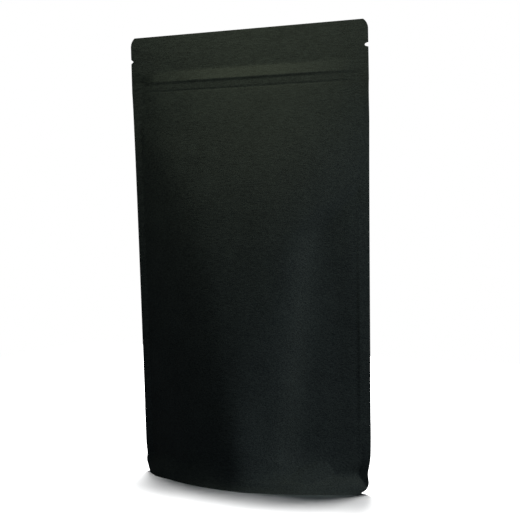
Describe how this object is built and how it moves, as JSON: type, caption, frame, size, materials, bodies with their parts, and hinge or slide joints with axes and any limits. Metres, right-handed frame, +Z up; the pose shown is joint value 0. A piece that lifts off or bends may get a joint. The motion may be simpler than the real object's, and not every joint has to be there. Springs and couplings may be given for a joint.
{
  "type": "stand-up pouch",
  "caption": "Matt black kraft stand-up pouch with a press-to-close zip, tear notches and a folded base that opens so it stands.",
  "frame": {"origin": "on the surface the pouch stands on, under the middle of its opened base", "axes": "+X across the front to the right, the front panel faces -Y, +Z up to the top edge"},
  "size_m": [0.19, 0.0588, 0.32],
  "materials": {
    "black_kraft": "matt"
  },
  "bodies": {
    "root": {"pouch": "black_kraft"}
  },
  "joints": []
}
